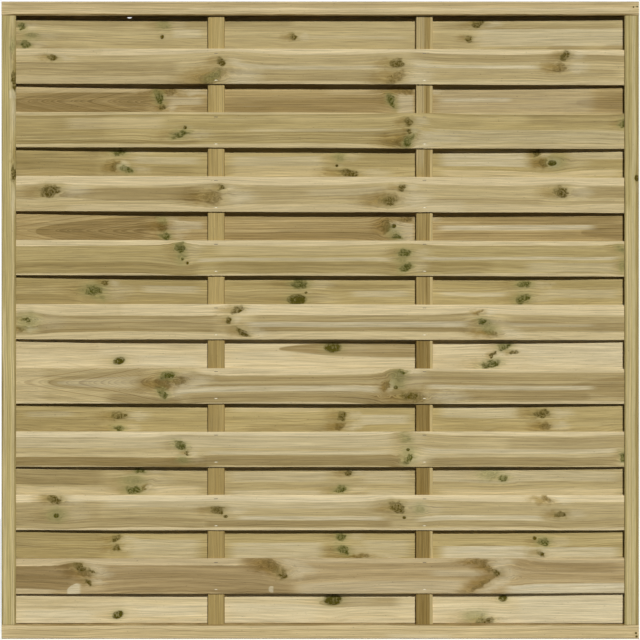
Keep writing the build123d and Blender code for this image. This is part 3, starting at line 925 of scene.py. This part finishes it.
@dataclass
class TimberFinish:
    """Makes the material of one timber from the groups.

    Lengths are in millimetres, the bump's in metres. Clean and uneven say how much longer and higher than stated a
    knot with such an outline is made; ragged is how far noise shifts an uneven one.
    """

    knots: KnotGroup = field(default_factory=KnotGroup)
    bend: BendGroup = field(default_factory=BendGroup)
    streaks: StreakGroup = field(default_factory=StreakGroup)
    timber: TimberGroup = field(default_factory=TimberGroup)
    bump: float = 0.0004
    gloss: float = 0.1
    ragged: float = 11.0
    ragged_scale: tuple[float, float] = (0.055, 0.085)
    clean: tuple[float, float] = (1.1, 1.1)
    uneven: tuple[float, float] = (1.25, 1.5)
    fade: float = 45.0
    fade_share: float = 0.25
    tip_rise: float = 6.0
    short_point: float = 8.0

    def build(self) -> None:
        """Builds the node groups."""
        for group in (self.knots, self.bend, self.streaks, self.timber):
            group.build()

    @staticmethod
    def apply(desk: NodeDesk, tree: NodeTree, values: dict[str, object]) -> Node:
        """Adds a group and fills its sockets.

        Args:
            desk: Where it goes.
            tree: The group.
            values: Sockets or values for its inputs.

        Returns:
            The group's node.
        """
        node = desk.put("ShaderNodeGroup", node_tree=tree)
        for label, value in values.items():
            desk.feed(node.inputs[label], value)
        return node

    def ragged_place(self, desk: NodeDesk, along: object, across: object, seed: float) -> tuple[object, object]:
        """Shifts the place a little by noise, so that knots have uneven outlines.

        Args:
            desk: Where the nodes go.
            along: Place along the grain.
            across: Place across it.
            seed: The timber's own number.

        Returns:
            The shifted places along and across.
        """
        noise = desk.put("ShaderNodeTexNoise", noise_dimensions="3D")
        slow, fast = self.ragged_scale
        desk.feed(noise.inputs["Vector"], desk.combine(desk.times(along, slow), desk.times(across, fast), seed))
        desk.feed(noise.inputs["Scale"], 1.0)
        desk.feed(noise.inputs["Detail"], 1.5)
        parts = desk.put("ShaderNodeSeparateColor")
        desk.feed(parts.inputs[0], noise.outputs[1])
        moved = [desk.scaled(part, 2 * self.ragged, -self.ragged) for part in parts.outputs[:2]]
        return desk.plus(along, moved[0]), desk.plus(across, moved[1])

    def add_knots(
        self, desk: NodeDesk, look: TimberLook, photo: PhotoMap,
        place: tuple[object, object], shifted: tuple[object, object],
    ) -> dict[str, object]:
        """Adds the knots one after another.

        Args:
            desk: Where the nodes go.
            look: The timber's look.
            photo: How the photograph maps onto it.
            place: Places along and across the grain.
            shifted: The same places shifted by noise.

        Returns:
            The knots' pull, hearts, stain, green tint and bleach.
        """
        reach: dict[str, object] = {label: 0.0 for label in ("Pull", "Core", "Stain", "Green", "White")}
        for knot in look.knots:
            clean = knot.kind in (KnotKind.SPOT, KnotKind.ROUND)
            along, across = place if clean else shifted
            longer, higher = self.clean if clean else self.uneven
            at, level = photo.spot(knot.px, knot.py)
            dark, tint, halo = knot.kind.value
            node = self.apply(desk, self.knots.tree, {
                "Along": along, "Across": across, "At": at, "Level": level, "Slant": knot.slant,
                "Half Length": longer * knot.length, "Half Height": higher * knot.height,
                "Dark": dark, "Tint": tint, "Halo": halo, **reach})
            reach = {label: node.outputs[label] for label in reach}
        return reach

    def add_streaks(
        self, desk: NodeDesk, look: TimberLook, photo: PhotoMap, place: tuple[object, object], white: object
    ) -> dict[str, object]:
        """Adds the streaks one after another.

        Args:
            desk: Where the nodes go.
            look: The timber's look.
            photo: How the photograph maps onto it.
            place: Place along the grain, and the grain's own level.
            white: The knots' bleach.

        Returns:
            The shares of pale, dark and bleached wood.
        """
        bands: dict[str, object] = {"Pale": 0.0, "Shade": 0.0, "White": white}
        for streak in look.streaks:
            pale, shade, bleach = (share * streak.strength for share in streak.tone.value)
            begin, finish, level, half = photo.band(streak.low, streak.high, streak.start, streak.end)
            fade = min(self.fade, self.fade_share * (finish - begin))
            node = self.apply(desk, self.streaks.tree, {
                "Along": place[0], "Bent": place[1], "Level": level, "Half": half, "From": begin, "To": finish,
                "Point": max(streak.point * photo.scale, self.short_point), "Soft": streak.soft,
                "Fade": fade, "Rise": self.tip_rise if streak.point else fade,
                "To Pale": pale, "To Shade": shade, "To White": bleach, **bands})
            bands = {label: node.outputs[label] for label in bands}
        return bands

    def make(self, name: str, look: TimberLook, photo: PhotoMap, seed: float) -> Material:
        """Makes the material.

        Args:
            name: Name of the piece.
            look: Its look.
            photo: How the photograph maps onto it.
            seed: Number that sets its own pattern.

        Returns:
            The material.
        """
        material, desk, shader = new_material(f"timber_{name}")
        shader.inputs["Specular IOR Level"].default_value = self.gloss
        place = desk.put("ShaderNodeSeparateXYZ")
        desk.feed(place.inputs[0], desk.put("ShaderNodeTexCoord").outputs["Object"])
        x, y, z = (desk.times(socket, MILLIMETRES) for socket in place.outputs)
        down = desk.minus(MILLIMETRES * PANEL_SIZE, z)
        along, beside = (down, x) if photo.grain is Grain.UPRIGHT else (x, z)
        across = desk.minus(beside, photo.middle)
        shifted = self.ragged_place(desk, along, across, seed)
        reach = self.add_knots(desk, look, photo, (along, across), shifted)
        bend = {"Along": along, "Across": across, "Pull": reach.pop("Pull"), "Seed": seed}
        bent = self.apply(desk, self.bend.tree, bend).outputs[0]
        bands = self.add_streaks(desk, look, photo, (along, bent), reach.pop("White"))
        early, body, late = (linear(*colour) for colour in look.shade.value)
        node = self.apply(desk, self.timber.tree, {
            "Along": along, "Bent": bent, "Depth": y, "Seed": seed,
            "Pith Across": look.pith[0], "Pith Depth": look.pith[1],
            "Tip": photo.spot(look.tip[0], 0.0)[0], "Taper": look.tip[1], "Ring": look.ring, "Figure": look.figure,
            "Early": early, "Body": body, "Late": late, **reach, **bands})
        desk.feed(shader.inputs["Base Color"], node.outputs["Colour"])
        desk.feed(shader.inputs["Roughness"], node.outputs["Rough"])
        bump = desk.put("ShaderNodeBump")
        desk.feed(bump.inputs["Distance"], self.bump)
        desk.feed(bump.inputs["Height"], node.outputs["Height"])
        desk.feed(shader.inputs["Normal"], bump.outputs[0])
        return material


def grid_mesh(name: str, points: np.ndarray) -> Object:
    """Makes a closed board from a grid of points: rings of a profile along a path, with a face on each end.

    Args:
        name: Name of the object.
        points: Array of stations by profile points by 3; the profile closes on itself.

    Returns:
        The object, smooth but for its sharp edges.
    """
    stations, count, _ = points.shape
    index = np.arange(stations * count).reshape(stations, count)
    nearer, further = index[:-1], index[1:]
    quads = np.stack([nearer, np.roll(nearer, -1, 1), np.roll(further, -1, 1), further], axis=-1).reshape(-1, 4)
    loops = np.concatenate([quads.ravel(), index[0, ::-1], index[-1]]).astype(np.int32)
    starts = np.concatenate([np.arange(len(quads)) * 4, [len(quads) * 4, len(quads) * 4 + count]]).astype(np.int32)
    mesh = bpy.data.meshes.new(name)
    mesh.vertices.add(stations * count)
    mesh.vertices.foreach_set("co", points.astype(np.float32).ravel())
    mesh.loops.add(len(loops))
    mesh.loops.foreach_set("vertex_index", loops)
    mesh.polygons.add(len(starts))
    mesh.polygons.foreach_set("loop_start", starts)
    mesh.polygons.foreach_set("use_smooth", np.ones(len(starts), dtype=bool))
    mesh.update(calc_edges=True)
    mesh.validate()
    mesh.set_sharp_from_angle(angle=math.radians(40))
    piece = bpy.data.objects.new(name, mesh)
    bpy.context.scene.collection.objects.link(piece)
    return piece


@dataclass
class SlatLayer:
    """The slats on one side of the battens.

    Attributes:
        side: "front" or "back".
        outward: -1 for the front, where the slats face -Y, and 1 for the back.
        looks: The look of each slat, from the top down.
        depth: How far the visible face lies behind the panel's front, in millimetres.
        lifts: How far each slat was nailed above its place, in metres.
        drops: How much lower each slat's right end lies than its left one, in metres.
        waves: Size, rate and phase of the slow waves of a slat's edges.
        ragged: Size and rate of the finer ones.
        cup: How far a slat cups, in metres, growing to that over cup_reach from the batten.
        dent_half: Half length and half height of a staple's dent.
    """

    side: str
    outward: float
    looks: tuple[TimberLook, ...]
    depth: float
    lifts: tuple[float, ...]
    drops: tuple[float, ...]
    width: float = 0.1
    thickness: float = 0.007
    arris: float = 0.0013
    batten_place: float = 0.2945
    batten_half: float = 0.0235
    seat: float = 0.86
    layer: float = 0.0135
    bow: float = 0.0056
    reach: float = 0.87
    staple_level: float = 0.038
    dent: float = 0.0006
    rail_ease: float = 0.0005
    chip_depth: float = 0.0031
    chip_place: float = -0.541
    chip_half: float = 0.006
    waves: tuple[tuple[float, float, float], ...] = ((0.00035, 5.1, 1.0), (0.0002, 13.7, 2.3))
    ragged: tuple[float, float] = (0.00012, 41.0)
    cup: float = 0.0003
    cup_reach: float = 0.1
    dent_half: tuple[float, float] = (0.0068, 0.0016)

    def stations(self) -> np.ndarray:
        """Places along the slat, closer together over the battens.

        Returns:
            Sorted places in metres from the middle.
        """
        plain = np.linspace(-self.reach, self.reach, 161)
        near = np.linspace(-0.012, 0.012, 25)
        close = [near + place for place in (-self.batten_place, self.batten_place, self.chip_place)]
        return np.unique(np.concatenate([plain, *close]).round(5))

    def profile(self) -> tuple[np.ndarray, np.ndarray]:
        """The slat's section: a flat board with eased arrises, closer points where the staples are.

        Returns:
            Levels across the slat and offsets from its middle plane, outward positive, going round the section.
        """
        half, thick, arris = self.width / 2, self.thickness / 2, self.arris
        near = np.linspace(-0.003, 0.003, 9)
        plain = np.linspace(-half + arris, half - arris, 13)
        face = np.concatenate([plain, near - self.staple_level, near + self.staple_level])
        face = np.unique(face.round(5))
        back_face = np.linspace(half - arris, -half + arris, 9)
        angle = np.linspace(0, math.pi / 2, 4)[1:-1]
        ease, ease_out = half - arris + arris * np.sin(angle), thick - arris + arris * np.cos(angle)
        edge, edge_out = np.array([half, half]), np.array([thick - arris, arris - thick])
        upper, upper_out = [ease, edge, ease[::-1]], [ease_out, edge_out, -ease_out[::-1]]
        levels = np.concatenate([face, *upper, back_face, *(-part for part in upper)])
        flat, flat_back = np.full(len(face), thick), np.full(len(back_face), -thick)
        offsets = np.concatenate([flat, *upper_out, flat_back, *(-part for part in upper_out)])
        return levels, offsets

    def surface(self, level: float, number: int) -> np.ndarray:
        """The slat as a grid of points.

        In plan the slat's middle line is straight over the battens and then an arc of radius
        (reach² + bow²) / 2 bow towards the groove. It lies out of level by its own drop, its edges wander by slow
        sines, and each staple has pressed a small dent into the face. The first and last slat of the back layer lie
        close to their rails, and a chip in the first one's upper edge lets light through.

        Args:
            level: Height of the slat's middle.
            number: Number of the slat, from the top down.

        Returns:
            Stations by profile points by 3.
        """
        along = self.stations()[:, None]
        levels, offsets = (values[None, :] for values in self.profile())
        straight = self.batten_place + self.batten_half
        radius = ((self.seat - straight) ** 2 + self.bow**2) / (2 * self.bow)
        beyond = np.maximum(np.abs(along) - straight, 0)
        middle = self.layer - (radius - np.sqrt(radius**2 - beyond**2))
        lean = np.sign(along) * beyond / radius
        seed = number * 1.7 + (0.0 if self.outward < 0 else 0.9)
        half = self.width / 2
        wander = sum(size * np.sin(along * rate + phase * seed) for size, rate, phase in self.waves)
        wander = wander + self.lifts[number - 1] - self.drops[number - 1] * along / (2 * self.seat)
        if self.outward > 0 and number in (1, len(self.looks)):
            beside_rail = np.sign(levels) == (1 if number == 1 else -1)
            chip = self.chip_depth * np.exp(-(((along - self.chip_place) / self.chip_half) ** 4)) * (number == 1)
            wander = np.where(beside_rail, np.sign(levels) * self.rail_ease - chip, 0 * along)
        ragged = np.sin(along * self.ragged[1] + 3.1 * seed + np.sign(levels) * 1.3)
        ragged = self.ragged[0] * ragged * np.abs(levels) / half
        cup = self.cup * math.sin(seed * 2.9) * ((levels / half) ** 2 - 0.4)
        lifted = np.abs(levels + wander) - self.staple_level
        beside = np.abs(along) - self.batten_place
        from_staple = (beside / self.dent_half[0]) ** 4 + (lifted / self.dent_half[1]) ** 2
        pressed = self.dent * np.exp(-from_staple) * (offsets > self.thickness * 0.45)
        out = offsets - pressed + cup * (beyond > 0) * np.minimum(beyond / self.cup_reach, 1)
        x = along + out * lean
        y = self.outward * (middle + out) + 0 * levels
        z = level + levels + wander + ragged
        return np.stack(np.broadcast_arrays(x, y, z), axis=-1)

    def build(self, finish: TimberFinish) -> None:
        """Builds every slat in place of its solid and gives it its timber.

        Args:
            finish: Maker of timber materials.
        """
        for number, look in enumerate(self.looks, start=1):
            node = f"{self.side}_slat_{number:02d}"
            low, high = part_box(node)
            level = (low.z + high.z) / 2
            points = self.surface(level, number)
            if self.outward > 0:
                points = points[:, ::-1]
            piece = grid_mesh(f"{self.side}_board_{number:02d}", points)
            photo = PhotoMap(Grain.LEVEL, MILLIMETRES * level, self.depth)
            seed = number * 0.731 + (0.0 if self.outward < 0 else 11.3)
            piece.data.materials.append(finish.make(node, look, photo, seed))
            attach(piece, "root")
            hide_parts(node)
            LOG.info("built %s with %d knots", piece.name, len(look.knots))


@dataclass
class FrameTimbers:
    """The rails, stiles and battens, which keep their solids and get their timber."""

    looks: dict[str, TimberLook]
    front: float = -0.02
    seeds: tuple[float, float] = (23.0, 1.37)

    def dress(self, finish: TimberFinish) -> None:
        """Gives each bar its timber.

        Args:
            finish: Maker of timber materials.
        """
        for number, (node, look) in enumerate(self.looks.items(), start=1):
            low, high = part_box(node)
            grain = Grain.LEVEL if "rail" in node else Grain.UPRIGHT
            middle = (low.x + high.x) / 2 if grain is Grain.UPRIGHT else (low.z + high.z) / 2
            photo = PhotoMap(grain, MILLIMETRES * middle, MILLIMETRES * (low.y - self.front))
            material = finish.make(node, look, photo, self.seeds[0] + number * self.seeds[1])
            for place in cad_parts[node].material_slots:
                place.material = material
            LOG.info("dressed %s", node)


@dataclass(frozen=True)
class WireFinish:
    """Galvanised staple wire: dull zinc, white in a painted glint mid-crown, spotted, darker at crown ends and near
    a slat's upper edge.
    """

    # painted glint: the zinc is near white so that each crown's middle shows as a glint
    zinc: tuple[float, float, float] = (255, 250, 222)
    dark: tuple[float, float, float] = (58, 50, 38)
    row_step: float = 179.78
    row_start: float = -3.5
    batten_place: float = 294.5
    metal: float = 0.15
    spot_scale: float = 900.0

    def make(self) -> Material:
        """Makes the material.

        Returns:
            The material.
        """
        material, desk, shader = new_material("staple_wire")
        shader.inputs["Metallic"].default_value = self.metal
        coordinates = desk.put("ShaderNodeTexCoord").outputs["Object"]
        place = desk.put("ShaderNodeSeparateXYZ")
        desk.feed(place.inputs[0], coordinates)
        across = desk.math("ABSOLUTE", desk.times(place.outputs[0], MILLIMETRES))
        height = desk.times(place.outputs[2], MILLIMETRES)
        row = desk.math("MODULO", desk.minus(height, self.row_start), self.row_step)
        upper = desk.math("LESS_THAN", row, self.row_step / 2)
        beside = desk.math("ABSOLUTE", desk.minus(across, self.batten_place))
        scaled = desk.put("ShaderNodeVectorMath", operation="SCALE")
        desk.feed(scaled.inputs[0], coordinates)
        desk.feed(scaled.inputs["Scale"], self.spot_scale)
        spots = desk.cloud(scaled.outputs[0], 3.0)
        # painted glint: darker beyond 2 mm from the crown's middle, so only the middle stays near white; noise
        # spots add wear
        glint_falloff_and_wear = desk.most(desk.span(beside, 2.0, 3.6, 0.0, 0.6), desk.span(spots, 0.55, 0.75, 0.0, 0.5))
        share = desk.most(desk.times(upper, 0.95), glint_falloff_and_wear)
        desk.feed(shader.inputs["Base Color"], desk.mix(linear(*self.zinc), linear(*self.dark), share))
        desk.feed(shader.inputs["Roughness"], desk.span(spots, 0.3, 0.7, 0.35, 0.55))
        return material


@dataclass
class Staples:
    """The wire staples, which keep their solids."""

    nodes: tuple[str, ...] = ("front_staples", "back_staples", "frame_staples")

    def dress(self, finish: WireFinish) -> None:
        """Gives the staples their wire finish.

        Args:
            finish: Maker of the wire material.
        """
        material = finish.make()
        for node in self.nodes:
            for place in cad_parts[node].material_slots:
                place.material = material
            LOG.info("dressed %s", node)


@dataclass
class Studio:
    """Floor, light and camera."""

    distance: float = VIEW_DISTANCE
    front: float = 0.02
    key_up: float = 24.7
    key_right: float = 8.0
    key_spread: float = 3.0
    key_strength: float = 3.0
    back_strength: float = 1.1
    side_strength: float = 0.7
    back_place: tuple[float, float] = (8.0, 165.0)
    side_place: tuple[float, float] = (5.0, -90.0)
    ambient: float = 0.004
    floor_radius: float = 4.0
    floor_dim: tuple[float, float, float, float] = (0.06, 0.06, 0.06, 1.0)
    floor_white: tuple[float, float, float, float] = (0.86, 0.86, 0.85, 1.0)
    floor_glow: float = 0.5

    @staticmethod
    def seen(desk: NodeDesk) -> NodeSocket:
        """Tells whether the camera sees a surface, straight or in gloss or glass.

        Args:
            desk: Where the nodes go.

        Returns:
            1 where it is seen, 0 where it only gives light.
        """
        path = desk.put("ShaderNodeLightPath").outputs
        mirrored = desk.most(path["Is Glossy Ray"], path["Is Transmission Ray"])
        return desk.most(path["Is Camera Ray"], mirrored)

    def floor(self) -> None:
        """Lays a pale disc under the panel: rings of points from the middle outwards, near white to the camera."""
        radii, turns = np.linspace(0.01, self.floor_radius, 12), np.linspace(0, 2 * math.pi, 73)[:-1]
        radius, turn = np.meshgrid(radii, turns, indexing="ij")
        points = np.stack([radius * np.cos(turn), radius * np.sin(turn), 0 * radius], axis=-1)
        rings, count, _ = points.shape
        index = np.arange(rings * count).reshape(rings, count)
        inner, outer = index[:-1], index[1:]
        quads = np.stack([inner, outer, np.roll(outer, -1, 1), np.roll(inner, -1, 1)], axis=-1).reshape(-1, 4)
        mesh = bpy.data.meshes.new("floor")
        mesh.from_pydata(points.reshape(-1, 3).tolist(), [], quads.tolist() + [index[0].tolist()])
        material, desk, shader = new_material("floor_paint")
        shader.inputs["Roughness"].default_value = 0.9
        seen = self.seen(desk)
        desk.feed(shader.inputs["Base Color"], desk.mix(self.floor_dim, self.floor_white, seen))
        shader.inputs["Emission Color"].default_value = (1.0, 1.0, 1.0, 1.0)
        desk.feed(shader.inputs["Emission Strength"], desk.times(seen, self.floor_glow))
        mesh.materials.append(material)
        disc = bpy.data.objects.new("floor", mesh)
        bpy.context.scene.collection.objects.link(disc)

    def lamp(self, name: str, up: float, right: float, strength: float) -> None:
        """Adds a broad far lamp that shines on the panel.

        Args:
            name: Its name.
            up: Degrees above level.
            right: Degrees to the right of the front.
            strength: Its strength.
        """
        data = bpy.data.lights.new(name, "SUN")
        data.energy = strength
        data.angle = math.radians(self.key_spread)
        lamp = bpy.data.objects.new(name, data)
        lamp.rotation_euler = (math.radians(90 - up), 0, math.radians(right))
        bpy.context.scene.collection.objects.link(lamp)

    def light(self) -> None:
        """Sets a lamp in front, weaker ones behind and at the left, and a weak even sky, white to the camera."""
        self.lamp("key", self.key_up, self.key_right, self.key_strength)
        self.lamp("back", *self.back_place, self.back_strength)
        self.lamp("side", *self.side_place, self.side_strength)
        world = bpy.data.worlds.new("studio")
        world.use_nodes = True
        bpy.context.scene.world = world
        desk = NodeDesk(world.node_tree)
        sky = world.node_tree.nodes["Background"]
        seen = self.seen(desk)
        desk.feed(sky.inputs["Strength"], desk.scaled(seen, 1.0 - self.ambient, self.ambient))
        sky.inputs["Color"].default_value = (1.0, 1.0, 1.0, 1.0)

    def camera(self) -> None:
        """Sets the camera level with the panel's middle, far enough to show it as the photograph does."""
        data = bpy.data.cameras.new("camera")
        view = bpy.data.objects.new("camera", data)
        view.location = (0, -self.front - self.distance, PANEL_SIZE / 2)
        view.rotation_euler = (math.pi / 2, 0, 0)
        data.lens = data.sensor_width * self.distance / (PANEL_SIZE * IMAGE_PIXELS / PANEL_PIXELS)
        data.shift_x = 0.5 - PANEL_CENTRE[0] / IMAGE_PIXELS
        data.shift_y = PANEL_CENTRE[1] / IMAGE_PIXELS - 0.5
        bpy.context.scene.collection.objects.link(view)
        bpy.context.scene.camera = view

    def build(self) -> None:
        """Builds the studio."""
        self.floor()
        self.light()
        self.camera()
        bpy.context.scene.view_settings.view_transform = "Standard"


def main() -> None:
    """Builds and dresses the panel, then its studio."""
    logging.basicConfig(level=logging.INFO)
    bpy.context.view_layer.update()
    finish = TimberFinish()
    finish.build()
    front_lifts = (0.0008, 0.0004, -0.0008, -0.0012, -0.0018, -0.0034, -0.002, -0.001, -0.0003)
    front_drops = (0.0044, 0.0054, 0.005, 0.004, 0.0024, 0.0012, 0.0003, 0.0004, -0.0019)
    level = (0.0,) * len(BACK_LOOKS)
    SlatLayer("front", -1.0, FRONT_LOOKS, 3.0, front_lifts, front_drops).build(finish)
    SlatLayer("back", 1.0, BACK_LOOKS, 30.0, level, level).build(finish)
    FrameTimbers(FRAME_LOOKS).dress(finish)
    Staples().dress(WireFinish())
    Studio().build()


if __name__ == "__main__":
    main()
